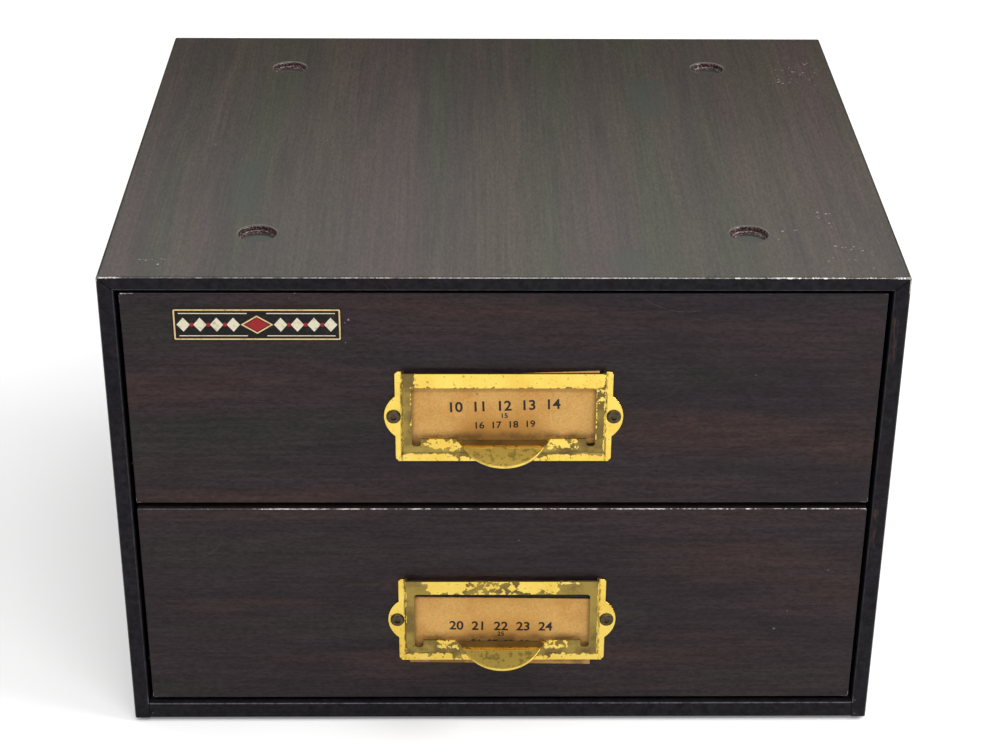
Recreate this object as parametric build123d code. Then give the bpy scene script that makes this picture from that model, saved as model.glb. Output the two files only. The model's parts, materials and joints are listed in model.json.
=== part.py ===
from build123d import *
import os
from math import atan2, cos, degrees, hypot, radians, sin

# A two-drawer sheet-steel cabinet for a watchmaker's parts, made to stand in a stack.
# The front faces -Y, +X is to its right and +Z is up. The origin is on the floor,
# at the centre of the four feet. All sizes are in millimetres.

# ---- case ----
case_width = 267.0
case_depth = 222.3
case_height = 179.2         # from the lower edge of the sides to the top
sheet = 0.8                 # steel of the case and of the drawer fronts
side_return = 5.6           # width of the folded border seen from the front
top_return = 5.0
bottom_return = 6.6
return_lip = 5.0            # the border's inner edge is turned back into the case
case_bend = 1.1             # outside radius of the folds
lip_bend = 0.65             # outside radius of the border's inner edge
mitre_gap = 0.25
pan_gap = 0.15              # between the bottom pan's border and the side borders
pan_flange = 6.0
back_flange = 8.0

# ---- feet and the recesses that they stand in ----
foot_spacing_x = 167.0
foot_spacing_y = 155.0
recess_radius = 6.2
recess_depth = 2.1
recess_lip = 0.8            # fillet at the recess's rim
recess_fillet = 0.6         # fillet at its floor
foot_clearance = 1.0        # radial, of a foot in a recess
foot_height = 1.8
foot_fillet = 0.4
foot_shank_radius = 2.0
foot_head_radius = 3.4
foot_head_height = 1.0
shank_clearance = 0.1

# ---- drawers ----
gap_side = 1.4
gap_top = 1.3
gap_bottom = 1.9
gap_between = 2.4
front_recess = 0.8          # of the drawer fronts behind the border
front_corner = 0.7
front_bend = 0.55
front_return = 9.0          # depth of the drawer front's folded edge
tray_sheet = 0.7
tray_drop = 6.1             # of a tray's rim below its front's upper edge
tray_hem = 5.0
tray_fit = 0.9              # between a tray's side and the fold of its front
fold_play = 0.5             # between that fold's end and the tray's notch and hem
tray_lift = 0.1             # between a tray's floor and the fold of its front
divider_drop = 13.3         # of a divider's upper edge below the tray's rim
divider_foot = 8.0
divider_gap = 0.3
drawer_travel = 165.0
stop_clearance = 0.3
lug_clearance = 1.2         # between a stop lug and the runner's leg
lug_height = 12.0

# ---- runners ----
runner_sheet = 1.0
runner_start = 12.0         # behind the case's front
runner_side_gap = 0.5       # between a tray and the runner's guide
runner_gap = 0.1            # between a tray's floor and the ledge
ledge_width = 8.0
guide_height = 9.0
runner_leg = 10.0           # welded to the case's side
runner_bend = 1.2           # on the centre of the sheet
stop_tab_height = 12.0

# ---- card holder with its finger tongue ----
brass = 0.8
holder_width = 73.4
holder_height = 34.4
holder_drop = 5.6           # of its centre below the drawer front's centre
holder_corner = 1.2
ear_radius = 10.0
ear_reach = 3.75
frame_inset = 2.4           # of the frame's side in from the flange's
frame_rise = 1.6            # of the frame over the flanges
frame_bend = 0.75
frame_foot = 3.7            # height of the flange under the frame
window_side_bar = 3.2
window_floor = 9.3          # from the holder's lower edge
window_top_bar = 5.4
window_radius = 1.2
notch_width = 3.1
notch_depth = 2.9
slip_gap = 0.07             # between a card and the lower flange, which stands off for it
foot_slant = 3.2
tongue_root = 31.6
tongue_crease = 27.3
tongue_leg_height = 2.2     # where the tongue's sheet leaves the frame, below its shelf
tongue_shelf = 4.9          # from the frame's face to the crease
tongue_lip = 9.2            # from the crease to the tip
tongue_slope = 17.0         # degrees, of the lip below the shelf
tongue_bend = 1.1           # on the centre of the sheet
crease_bend = 1.6
edge_break = 0.2

# ---- holder rivets ----
rivet_from_edge = 3.25      # in from the tip of the ear
rivet_shank_radius = 1.5
rivet_head_radius = 2.5
rivet_head_height = 0.9
rivet_dimple_radius = 1.0
rivet_dimple_depth = 0.45
rivet_tail_radius = 2.3
rivet_tail_height = 0.8

# ---- label cards ----
card_play = 2.0             # of a card's width in the holder
card_height = 28.0
card_sheet = 0.3
card_gap = 0.08             # between a card and the drawer front
upper_card_shift = 0.1
upper_card_bottom = 5.55    # from the holder's lower edge
upper_card_tilt = 2.0       # degrees, left end lower
lower_card_shift = -0.4
lower_card_bottom = -2.2    # this card has slipped down behind the flange
lower_card_tilt = -0.9

# ---- printed transfer on the upper drawer ----
transfer_width = 55.9
transfer_height = 12.2
transfer_film = 0.12
transfer_from_side = 16.9
transfer_from_top = 5.4

# ---- places worked out from the sizes above ----
front_y = -case_depth / 2
back_y = case_depth / 2
case_bottom = foot_height
case_top = case_bottom + case_height
opening_half = case_width / 2 - side_return
opening_bottom = case_bottom + bottom_return
opening_top = case_top - top_return
inner_half = case_width / 2 - sheet
lip_end = front_y + sheet + return_lip

front_half = opening_half - gap_side
front_height = (opening_top - opening_bottom - gap_top - gap_bottom - gap_between) / 2
front_face = front_y + front_recess
drawer_pitch = front_height + gap_between
lower_bottom = opening_bottom + gap_bottom
upper_bottom = lower_bottom + drawer_pitch

tray_half = front_half - sheet - tray_fit
tray_front = front_face + sheet
runner_end = back_y - sheet - back_flange - stop_clearance
tray_back = runner_end - runner_sheet - stop_clearance
tray_rise = sheet + tray_lift                    # of a tray's floor over its front's lower edge
tray_height = front_height - tray_rise - tray_drop
divider_height = tray_height - tray_sheet - divider_drop
lug_reach = inner_half - runner_sheet - lug_clearance - tray_half
lug_front = lip_end + drawer_travel + stop_clearance

foot_radius = recess_radius - foot_clearance
tongue_leg = window_floor - holder_height / 2 - tongue_leg_height
ear_tip = holder_width / 2 + ear_reach
rivet_x = ear_tip - rivet_from_edge
frame_half_width = holder_width / 2 - frame_inset
window_half_width = frame_half_width - window_side_bar
card_width = 2 * (frame_half_width - brass) - card_play
foot_offset = card_gap + card_sheet + slip_gap


def block(x, y, z):
    """A box from three (low, high) pairs."""
    size = [high - low for low, high in (x, y, z)]
    middle = [(low + high) / 2 for low, high in (x, y, z)]
    return Pos(*middle) * Box(*size)


def span(half):
    return (-half, half)


def mirrored(shape):
    return mirror(shape, about=Plane.YZ)


def plate_xz(sketch, y, thickness):
    """A plate whose outline is drawn in X and Z, from y back to y + thickness."""
    plane = Plane((0, y + thickness, 0), x_dir=(1, 0, 0), z_dir=(0, -1, 0))
    return extrude(plane * sketch, thickness)


def disc_y(x, z, radius, y, length):
    """A round bar along Y, from y back to y + length."""
    return plate_xz(Pos(x, z) * Circle(radius), y, length)


def foot_places():
    return [(x, y) for x in (-foot_spacing_x / 2, foot_spacing_x / 2)
            for y in (-foot_spacing_y / 2, foot_spacing_y / 2)]


# ---- case ----

def recess_cutter():
    """The space of one stacking recess, on the Z axis with the top sheet's face at z = 0."""
    rim = recess_radius + recess_lip
    floor = recess_radius - recess_fillet
    with BuildSketch(Plane.XZ) as profile:
        with BuildLine():
            Polyline((0, -recess_depth), (0, recess_lip), (rim, recess_lip), (rim, 0))
            RadiusArc((rim, 0), (recess_radius, -recess_lip), -recess_lip)
            Line((recess_radius, -recess_lip), (recess_radius, recess_fillet - recess_depth))
            RadiusArc((recess_radius, recess_fillet - recess_depth), (floor, -recess_depth),
                      recess_fillet)
            Line((floor, -recess_depth), (0, -recess_depth))
        make_face()
    return revolve(profile.sketch, Axis.Z)


def mitre_slot():
    """The open joint of the border at its upper right corner."""
    start = (opening_half - sheet, opening_top - sheet)
    end = (case_width / 2 - case_bend - mitre_gap, case_top - case_bend - mitre_gap)
    run, rise = end[0] - start[0], end[1] - start[1]
    slot = Rot(0, 0, degrees(atan2(rise, run))) * Rectangle(hypot(run, rise), mitre_gap)
    centre = Pos((start[0] + end[0]) / 2, (start[1] + end[1]) / 2)
    return plate_xz(centre * slot, front_y - sheet, lip_end - front_y + 2 * sheet)


def make_case_wrapper():
    """Top and sides folded from one sheet, with a border round the front opening."""
    shell = block(span(case_width / 2), (front_y, back_y), (case_bottom, case_top))
    folds = shell.edges().filter_by(Axis.Y).group_by(Axis.Z)[-1]
    border = shell.faces().sort_by(Axis.Y)[0].edges()
    lower_edge = border.sort_by(Axis.Z)[0]
    shell = fillet(folds + ShapeList([e for e in border if e != lower_edge]), case_bend)
    shell -= block(span(inner_half), (front_y + sheet, back_y + sheet),
                   (case_bottom - sheet, case_top - sheet))
    shell -= block(span(opening_half), (front_y - sheet, front_y + 2 * sheet),
                   (case_bottom - sheet, opening_top))
    lip_y = (front_y + lip_bend, lip_end)
    side_lip = block((opening_half, opening_half + sheet), lip_y, (case_bottom, opening_top + sheet))
    shell += [side_lip, mirrored(side_lip),
              block(span(opening_half + sheet), lip_y, (opening_top, opening_top + sheet))]
    inner_edges = [e for e in shell.edges().filter_by(lambda e: abs(e.center().Y - front_y) < 0.01)
                   if abs(e.center().X) < opening_half + 0.01 and e.center().Z < opening_top + 0.01]
    shell = fillet([e for e in inner_edges if e.center().Z > case_bottom + 0.01], lip_bend)
    cup = Pos(0, 0, -(recess_depth + sheet) / 2) * Cylinder(recess_radius + sheet,
                                                             recess_depth + sheet)
    for x, y in foot_places():
        shell += Pos(x, y, case_top) * cup
    for x, y in foot_places():
        shell -= Pos(x, y, case_top) * recess_cutter()
    slot = mitre_slot()
    return shell - slot - mirrored(slot)


def make_bottom_pan():
    """The case's floor, with its own piece of the border in front."""
    border_half = opening_half - pan_gap
    wide_start = lip_end + sheet
    flange_end = back_y - sheet - back_flange - stop_clearance
    pan = block(span(border_half), (front_y, wide_start), (case_bottom, opening_bottom))
    fold_edges = pan.faces().sort_by(Axis.Y)[0].edges().filter_by(Axis.X)
    pan = fillet(fold_edges, lip_bend)
    pan -= block(span(case_width), (front_y + sheet, back_y),
                 (case_bottom + sheet, opening_bottom - sheet))
    pan -= block(span(case_width), (lip_end, back_y), (case_bottom + sheet, opening_bottom + sheet))
    pan += block(span(inner_half), (wide_start, back_y - sheet), (case_bottom, case_bottom + sheet))
    side = block((inner_half - sheet, inner_half), (wide_start, flange_end),
                 (case_bottom, case_bottom + pan_flange))
    pan += [side, mirrored(side)]
    for x, y in foot_places():
        pan -= Pos(x, y, case_bottom) * Cylinder(foot_shank_radius + shank_clearance, 4 * sheet)
    return pan


def make_back_panel():
    """A shallow tray turned forwards, spot welded inside the wrapper's rear edge."""
    low, high = case_bottom + sheet, case_top - sheet
    flange_y = (back_y - sheet - back_flange, back_y)
    panel = block(span(inner_half), flange_y, (low, high))
    panel = fillet(panel.faces().sort_by(Axis.Y)[-1].edges(), front_bend)
    panel -= block(span(inner_half - sheet), (flange_y[0] - sheet, back_y - sheet),
                   (low + sheet, high - sheet))
    return panel


def make_feet():
    """Foot buttons with shanks riveted over inside the bottom pan."""
    feet = []
    for x, y in foot_places():
        button = Pos(x, y, foot_height / 2) * Cylinder(foot_radius, foot_height)
        button = fillet(button.edges().sort_by(Axis.Z)[0], foot_fillet)
        shank_top = case_bottom + sheet + foot_head_height
        shank = Pos(x, y, shank_top / 2) * Cylinder(foot_shank_radius, shank_top)
        head = Pos(x, y, shank_top - foot_head_height / 2) * Cylinder(foot_head_radius,
                                                                     foot_head_height)
        head = fillet(head.edges().sort_by(Axis.Z)[-1], foot_head_height / 2)
        feet.append(button + shank + head)
    return Compound(children=feet)


def make_runner(bottom):
    """The right-hand runner of the drawer whose front's lower edge is at bottom."""
    ledge = bottom + tray_rise - runner_gap
    middle = runner_sheet / 2
    guide_x = tray_half + runner_side_gap + middle
    wall_x = inner_half - middle
    bridge_z = ledge + guide_height - middle
    centre_line = FilletPolyline(
        (guide_x - ledge_width, ledge - middle), (guide_x, ledge - middle),
        (guide_x, bridge_z), (wall_x, bridge_z), (wall_x, bridge_z + runner_leg),
        radius=runner_bend)
    start = front_y + runner_start
    runner = plate_xz(trace(centre_line, runner_sheet), start, runner_end - start)
    tab = block((guide_x - ledge_width, guide_x - middle - runner_bend),
                (runner_end - runner_sheet, runner_end),
                (ledge - runner_sheet, ledge + stop_tab_height))
    return runner + tab


# ---- drawers ----

def rivet_places(bottom):
    z = bottom + front_height / 2 - holder_drop
    return [(-rivet_x, z), (rivet_x, z)]


def drill_rivet_holes(shape, bottom):
    for x, z in rivet_places(bottom):
        shape -= disc_y(x, z, rivet_shank_radius + shank_clearance, front_face - sheet,
                        sheet * 2 + tray_sheet + fold_play)
    return shape


def make_drawer_front(bottom):
    top = bottom + front_height
    front = block(span(front_half), (front_face, front_face + front_return), (bottom, top))
    front = fillet(front.edges().filter_by(Axis.Y), front_corner)
    front = fillet(front.faces().sort_by(Axis.Y)[0].edges(), front_bend)
    front -= block(span(front_half - sheet), (front_face + sheet, front_face + front_return + sheet),
                   (bottom + sheet, top - sheet))
    return drill_rivet_holes(front, bottom)


def make_drawer_tray(bottom):
    """Floor and four walls of one sheet, hemmed sides, and a stop lug lanced from each side."""
    floor = bottom + tray_rise
    top = floor + tray_height
    tray = block(span(tray_half), (tray_front, tray_back), (floor, top))
    tray -= block(span(tray_half - tray_sheet), (tray_front + tray_sheet, tray_back - tray_sheet),
                  (floor + tray_sheet, top + tray_sheet))
    hem = block((tray_half, tray_half + tray_sheet),
                (front_face + front_return + fold_play, tray_back), (top - tray_hem, top))
    lug_z = (floor + guide_height + stop_clearance, floor + guide_height + stop_clearance + lug_height)
    lug = block((tray_half - tray_sheet, tray_half + lug_reach),
                (lug_front, lug_front + tray_sheet), lug_z)
    window = block((tray_half - 2 * tray_sheet, tray_half + tray_sheet),
                   (lug_front + tray_sheet, lug_front + tray_sheet + lug_reach), lug_z)
    tray += [hem, mirrored(hem)]
    tray -= window
    tray -= mirrored(window)
    tray += [lug, mirrored(lug)]
    return drill_rivet_holes(tray, bottom)


def make_divider(bottom):
    """The right-hand lengthwise divider, an angle standing on the tray's floor."""
    floor = bottom + tray_rise + tray_sheet
    bay = (2 * (tray_half - tray_sheet) - 2 * tray_sheet) / 3
    middle = tray_sheet / 2
    x = bay / 2 + middle
    centre_line = FilletPolyline((x + divider_foot, floor + middle), (x, floor + middle),
                                 (x, floor + divider_height), radius=tray_sheet)
    start = tray_front + tray_sheet + divider_gap
    length = tray_back - tray_sheet - divider_gap - start
    return plate_xz(trace(centre_line, tray_sheet), start, length)


def holder_outline():
    """The flat flange with its two ears, drawn in X and Z round the holder's centre."""
    outline = RectangleRounded(holder_width, holder_height, holder_corner)
    for side in (-1, 1):
        ear = Pos(side * (ear_tip - ear_radius), 0) * Circle(ear_radius)
        keep = Pos(side * ear_tip, 0) * Rectangle(2 * ear_reach + brass, 2 * ear_radius)
        outline += ear & keep
    return outline


def holder_frame():
    """The raised frame: open at the top, where the card goes in."""
    low, high = frame_foot - holder_height / 2, holder_height / 2
    face = -brass - frame_rise
    frame = block(span(frame_half_width), (face, 0), (low, high))
    front_edges = frame.faces().sort_by(Axis.Y)[0].edges().sort_by(Axis.Z)
    frame = fillet(front_edges[0:3], frame_bend)
    frame -= block(span(frame_half_width - brass), (face + brass, brass), (low + brass, high + brass))
    return frame


def holder_window():
    """The opening in the frame's face, with relief notches at its lower corners."""
    low = window_floor - holder_height / 2
    high = holder_height / 2 - window_top_bar
    window = Pos(0, (low + high) / 2) * RectangleRounded(2 * window_half_width, high - low,
                                                         window_radius)
    notch_x = window_half_width - notch_width / 2
    for side in (-1, 1):
        notch = Pos(side * notch_x, low) * RectangleRounded(notch_width, 2 * notch_depth,
                                                            window_radius)
        window += notch
    return plate_xz(window, -2 * brass - frame_rise, 3 * brass)


def holder_tongue():
    """A half-round finger tongue: a flat shelf, a crease and a lip sloping down."""
    bar_y = -brass / 2 - frame_rise
    shelf_z = window_floor - holder_height / 2 - brass / 2
    face = -brass - frame_rise
    crease_y = face - tongue_shelf
    slope = radians(tongue_slope)
    overrun = 1.5 * tongue_lip
    centre_line = FilletPolyline(
        (bar_y, tongue_leg), (bar_y, shelf_z), (crease_y, shelf_z),
        (crease_y - overrun * cos(slope), shelf_z - overrun * sin(slope)),
        radius=(tongue_bend, crease_bend))
    plane = Plane((-tongue_root, 0, 0), x_dir=(0, 1, 0), z_dir=(1, 0, 0))
    strip = extrude(plane * trace(centre_line, brass), 2 * tongue_root)
    tip_y = crease_y - tongue_lip * cos(slope)
    root_y = bar_y + brass / 2
    with BuildSketch() as plan:
        with BuildLine():
            Polyline((-tongue_crease / 2, crease_y), (-tongue_root / 2, face),
                     (-tongue_root / 2, root_y), (tongue_root / 2, root_y),
                     (tongue_root / 2, face), (tongue_crease / 2, crease_y))
            ThreePointArc((tongue_crease / 2, crease_y), (0, tip_y), (-tongue_crease / 2, crease_y))
        make_face()
    prism = Pos(0, 0, -holder_height / 2) * extrude(plan.sketch, holder_height)
    tongue = strip & prism
    rim = [e for e in tongue.edges() if e.center().Y < crease_y - tongue_lip / 3]
    return fillet(rim, edge_break)


def make_holder(bottom):
    """One stamped brass card holder on the drawer front whose lower edge is at bottom."""
    low = frame_foot - holder_height / 2
    half_height = holder_height / 2
    flange = plate_xz(holder_outline(), -brass, brass)
    flange = fillet(flange.faces().sort_by(Axis.Y)[0].outer_wire().edges(), edge_break)
    pocket = frame_half_width - brass
    flange -= block(span(pocket), (-2 * brass, brass), (low + brass, holder_height))
    foot = Polygon((-holder_width / 2 + brass, -half_height), (holder_width / 2 - brass, -half_height),
                   (holder_width / 2 - foot_slant, low + brass),
                   (foot_slant - holder_width / 2, low + brass), align=None)
    holder = flange + plate_xz(foot, -brass - foot_offset, brass) + holder_frame()
    holder -= block(span(pocket), (-foot_offset, brass), (-holder_height, low + 2 * brass))
    holder -= holder_window()
    face = -brass - frame_rise
    # clear the bar under the window, where the tongue's own sheet takes its place
    holder -= block(span(tongue_root / 2), (face - brass, face + brass), (tongue_leg, 0))
    holder += holder_tongue()
    for x in (-rivet_x, rivet_x):
        holder -= disc_y(x, 0, rivet_shank_radius + shank_clearance, -2 * brass, 3 * brass)
    return Pos(0, front_face, bottom + front_height / 2 - holder_drop) * holder


def make_rivets(bottom):
    """Two tubular rivets: a low domed head with a dimple, and a clinched tail."""
    rivets = []
    seat = front_face - brass
    tail = front_face + sheet + tray_sheet
    for x, z in rivet_places(bottom):
        head = disc_y(x, z, rivet_head_radius, seat - rivet_head_height, rivet_head_height)
        head = fillet(head.edges().sort_by(Axis.Y)[0], rivet_head_height * 0.8)
        head -= disc_y(x, z, rivet_dimple_radius, seat - rivet_head_height, rivet_dimple_depth)
        shank = disc_y(x, z, rivet_shank_radius, seat - rivet_head_height + rivet_dimple_depth,
                       tail - seat + rivet_head_height)
        rivets.append(head + shank + disc_y(x, z, rivet_tail_radius, tail, rivet_tail_height))
    return Compound(children=rivets)


def make_card(bottom, shift, card_bottom, tilt):
    """A label card in the holder of the drawer whose front's lower edge is at bottom."""
    holder_bottom = bottom + front_height / 2 - holder_drop - holder_height / 2
    centre_z = holder_bottom + card_bottom + card_height / 2
    outline = Pos(shift, centre_z) * Rot(0, 0, tilt) * Rectangle(card_width, card_height)
    return plate_xz(outline, front_face - card_gap - card_sheet, card_sheet)


def make_transfer():
    x = -front_half + transfer_from_side
    z = upper_bottom + front_height - transfer_from_top
    return block((x, x + transfer_width), (front_face - transfer_film, front_face),
                 (z - transfer_height, z))


def main():
    nodes = {
        "case_wrapper": make_case_wrapper(),
        "bottom_pan": make_bottom_pan(),
        "back_panel": make_back_panel(),
        "stacking_feet": make_feet(),
        "front_transfer": make_transfer(),
        "upper_label_card": make_card(upper_bottom, upper_card_shift, upper_card_bottom, upper_card_tilt),
        "lower_label_card": make_card(lower_bottom, lower_card_shift, lower_card_bottom, lower_card_tilt),
    }
    for level, bottom in (("lower", lower_bottom), ("upper", upper_bottom)):
        runner, divider = make_runner(bottom), make_divider(bottom)
        nodes[f"{level}_right_runner"] = runner
        nodes[f"{level}_left_runner"] = mirrored(runner)
        nodes[f"{level}_drawer_front"] = make_drawer_front(bottom)
        nodes[f"{level}_drawer_tray"] = make_drawer_tray(bottom)
        nodes[f"{level}_right_divider"] = divider
        nodes[f"{level}_left_divider"] = mirrored(divider)
        nodes[f"{level}_pull"] = make_holder(bottom)
        nodes[f"{level}_pull_rivets"] = make_rivets(bottom)
    os.makedirs("parts", exist_ok=True)
    for name, shape in nodes.items():
        export_step(shape, f"parts/{name}.step")


main()
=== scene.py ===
import bpy, bmesh, json
from math import radians, sin, cos, pi
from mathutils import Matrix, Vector, noise


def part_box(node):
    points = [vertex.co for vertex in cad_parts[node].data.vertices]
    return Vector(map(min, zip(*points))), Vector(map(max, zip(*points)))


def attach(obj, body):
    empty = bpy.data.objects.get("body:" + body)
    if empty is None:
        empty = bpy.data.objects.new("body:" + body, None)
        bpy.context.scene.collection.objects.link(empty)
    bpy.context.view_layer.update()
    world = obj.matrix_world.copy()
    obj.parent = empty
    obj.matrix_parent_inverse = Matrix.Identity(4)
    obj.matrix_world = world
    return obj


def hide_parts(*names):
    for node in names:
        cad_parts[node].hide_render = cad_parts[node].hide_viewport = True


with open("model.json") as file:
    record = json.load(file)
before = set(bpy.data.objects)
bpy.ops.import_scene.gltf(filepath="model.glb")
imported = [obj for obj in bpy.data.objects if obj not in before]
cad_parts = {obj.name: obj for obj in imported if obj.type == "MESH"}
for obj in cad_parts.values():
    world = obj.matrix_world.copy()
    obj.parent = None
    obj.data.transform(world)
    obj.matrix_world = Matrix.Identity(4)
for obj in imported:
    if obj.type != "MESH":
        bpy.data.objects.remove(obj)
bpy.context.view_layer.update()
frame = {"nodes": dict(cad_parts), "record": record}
nodes = frame["nodes"]
mm = 0.001
levels = ("upper", "lower")
print("frame loaded:", len(nodes), "nodes")


def feed(tree, node, feeds):
    # gives each input a value or another node's output
    for key, value in feeds.items():
        if isinstance(value, bpy.types.NodeSocket):
            tree.links.new(value, node.inputs[key])
        else:
            node.inputs[key].default_value = value


def put(tree, kind, feeds=None, **settings):
    node = tree.nodes.new("ShaderNode" + kind)
    for name, value in settings.items():
        setattr(node, name, value)
    feed(tree, node, feeds or {})
    return node


def calc(tree, operation, first, second=0.0, third=0.0):
    return put(tree, "Math", {0: first, 1: second, 2: third}, operation=operation).outputs[0]


def times(tree, first, *others):
    for other in others:
        first = calc(tree, "MULTIPLY", first, other)
    return first


def plus(tree, first, second):
    return calc(tree, "ADD", first, second)


def minus(tree, first, second):
    return calc(tree, "SUBTRACT", first, second)


def inverse(tree, value):
    return minus(tree, 1.0, value)


def vectorCalc(tree, operation, first, second=(0.0, 0.0, 0.0)):
    return put(tree, "VectorMath", {0: first, 1: second}, operation=operation).outputs[0]


def scaled(tree, vector, sizes):
    return vectorCalc(tree, "MULTIPLY", vector, sizes)


def lengthOf(tree, vector):
    return put(tree, "VectorMath", {0: vector}, operation="LENGTH").outputs["Value"]


def axes(tree, place):
    # the x, y and z of a place
    return put(tree, "SeparateXYZ", {0: place}).outputs


def fade(tree, value, start, end, low=0.0, high=1.0):
    # smooth step of a value from low at start to high at end
    feeds = {"Value": value, "From Min": start, "From Max": end, "To Min": low, "To Max": high}
    return put(tree, "MapRange", feeds, interpolation_type="SMOOTHSTEP").outputs[0]


def blend(tree, factor, first, second, mode="MIX"):
    return put(tree, "Mix", {0: factor, 6: first, 7: second}, data_type="RGBA", blend_type=mode).outputs[2]


def cover(tree, color, over, mask, share):
    # lays a colour over another where the mask is, at a share of its strength
    return blend(tree, times(tree, mask, share), color, over)


def shaded(tree, color, value, start, end, low, high):
    # a colour times a grey that goes from low at start to high at end
    level = fade(tree, value, start, end, low, high)
    grey = put(tree, "CombineColor", {0: level, 1: level, 2: level}).outputs[0]
    return blend(tree, 1.0, color, grey, "MULTIPLY")


def cloud(tree, place, scale, detail=2.0, seed=0.0, roughness=0.5, distortion=0.0):
    feeds = {"Vector": place, "W": seed, "Scale": scale, "Detail": detail,
             "Roughness": roughness, "Distortion": distortion}
    return put(tree, "TexNoise", feeds, noise_dimensions="4D").outputs[0]


def rgb(red, green, blue):
    return (red, green, blue, 1.0)


def metres(*sizes):
    return tuple(size * mm for size in sizes)


def newGroup(name, inputs, output="Mask", kind="Float"):
    # inputs are (name, kind, default); each group has one output
    tree = bpy.data.node_groups.new(name, "ShaderNodeTree")
    for label, inputKind, default in inputs:
        socket = tree.interface.new_socket(name=label, in_out="INPUT", socket_type="NodeSocket" + inputKind)
        socket.default_value = default
    tree.interface.new_socket(name=output, in_out="OUTPUT", socket_type="NodeSocket" + kind)
    given = tree.nodes.new("NodeGroupInput").outputs
    return tree, [given[label] for label, *rest in inputs], tree.nodes.new("NodeGroupOutput").inputs[0]


def useGroup(tree, group, place, **feeds):
    return put(tree, "Group", dict(feeds, Place=place), node_tree=group).outputs[0]


def floats(**defaults):
    return [(name, "Float", value) for name, value in defaults.items()]


placeInput = ("Place", "Vector", (0, 0, 0))
boxInputs = [placeInput, ("Low", "Vector", (0, 0, 0)), ("High", "Vector", (0, 0, 0))]


def buildWoodPrint():
    # printed mahogany grain; Stretch squeezes the place along the grain
    inputs = [placeInput, ("Stretch", "Vector", (1, 1, 1))] + floats(Streaks=60.0, Seed=0.0, Contrast=0.2)
    inputs += [(name, "Color", rgb(0.03, 0.02, 0.02)) for name in ("Dark", "Body", "Red", "Green")]
    tree, given, out = newGroup("Wood Print", inputs, "Color", "Color")
    place, stretch, streaks, seed, contrast, dark, body, red, green = given
    sway = put(tree, "TexNoise", {"Vector": place, "Scale": 7.0, "Detail": 1.0}).outputs["Color"]
    sway = vectorCalc(tree, "SUBTRACT", sway, (0.5, 0.5, 0.5))
    swayed = vectorCalc(tree, "ADD", place, scaled(tree, sway, metres(5, 5, 5)))
    squeezed = scaled(tree, swayed, stretch)
    broad = cloud(tree, squeezed, streaks, 3.0, seed)
    hue = cloud(tree, squeezed, times(tree, streaks, 0.8), 3.0, plus(tree, seed, 11.0))
    color = blend(tree, fade(tree, broad, 0.38, 0.62), dark, body)
    color = blend(tree, fade(tree, hue, 0.51, 0.68), color, red)
    color = blend(tree, fade(tree, hue, 0.49, 0.32), color, green)
    narrow = cloud(tree, squeezed, times(tree, streaks, 4.0), 3.0, plus(tree, seed, 5.0))
    longer, shorter = [
        vectorCalc(tree, "ADD", scaled(tree, stretch, (share,) * 3), (1.0 - share,) * 3)
        for share in (0.75, 0.7)]
    fibres = scaled(tree, scaled(tree, place, stretch), longer)
    fibres = cloud(tree, fibres, 1100.0, 2.0, seed, 0.6)
    speckled = cloud(tree, scaled(tree, place, shorter), 1300.0, 3.0, seed, 0.7)
    for grain, share in ((narrow, 0.28), (fibres, 0.45), (speckled, 0.85)):
        swing = times(tree, contrast, share)
        color = shaded(tree, color, grain, 0.3, 0.7, inverse(tree, swing), plus(tree, 1.0, swing))
    tree.links.new(color, out)
    return tree


def buildSoftBox():
    # 1 inside a box, falling to 0 over Softness outside it
    tree, (place, low, high, softness), out = newGroup("Soft Box", boxInputs + floats(Softness=1 * mm))
    below = vectorCalc(tree, "SUBTRACT", low, place)
    above = vectorCalc(tree, "SUBTRACT", place, high)
    outside = vectorCalc(tree, "MAXIMUM", vectorCalc(tree, "MAXIMUM", below, above))
    share = calc(tree, "DIVIDE", lengthOf(tree, outside), softness)
    tree.links.new(fade(tree, share, 1.0, 0.0), out)
    return tree


def buildBoxEdges():
    # distance from a place on a box's surface to the nearest of the box's edges
    tree, (place, low, high), out = newGroup("Box Edges", boxInputs, "Distance")
    below = vectorCalc(tree, "SUBTRACT", place, low)
    above = vectorCalc(tree, "SUBTRACT", high, place)
    x, y, z = axes(tree, vectorCalc(tree, "ABSOLUTE", vectorCalc(tree, "MINIMUM", below, above)))
    middle = calc(tree, "MINIMUM", calc(tree, "MAXIMUM", x, y), z)
    tree.links.new(calc(tree, "MAXIMUM", calc(tree, "MINIMUM", x, y), middle), out)
    return tree


def buildWornEdge():
    # chips of bare metal that reach in from an edge by a share of Reach
    inputs = [placeInput] + floats(Distance=0.0, Reach=1 * mm, Scale=300.0, Amount=0.5, Seed=0.0)
    tree, (place, distance, reach, scale, amount, seed), out = newGroup("Worn Edge", inputs)
    coarse = cloud(tree, place, times(tree, scale, 0.4), 3.0, seed, 0.6)
    fine = cloud(tree, place, times(tree, scale, 2.2), 4.0, seed, 0.7)
    ragged = times(tree, minus(tree, fine, 0.5), 0.9)
    deep = fade(tree, plus(tree, plus(tree, coarse, ragged), amount), 0.70, 1.25)
    left = minus(tree, times(tree, deep, reach), distance)
    broken = cloud(tree, place, times(tree, scale, 4.0), 3.0, seed, 0.6)
    broken = fade(tree, broken, 0.36, 0.52, 0.25, 1.0)
    tree.links.new(times(tree, fade(tree, left, 0.0, 0.10 * mm), broken), out)
    return tree


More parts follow.
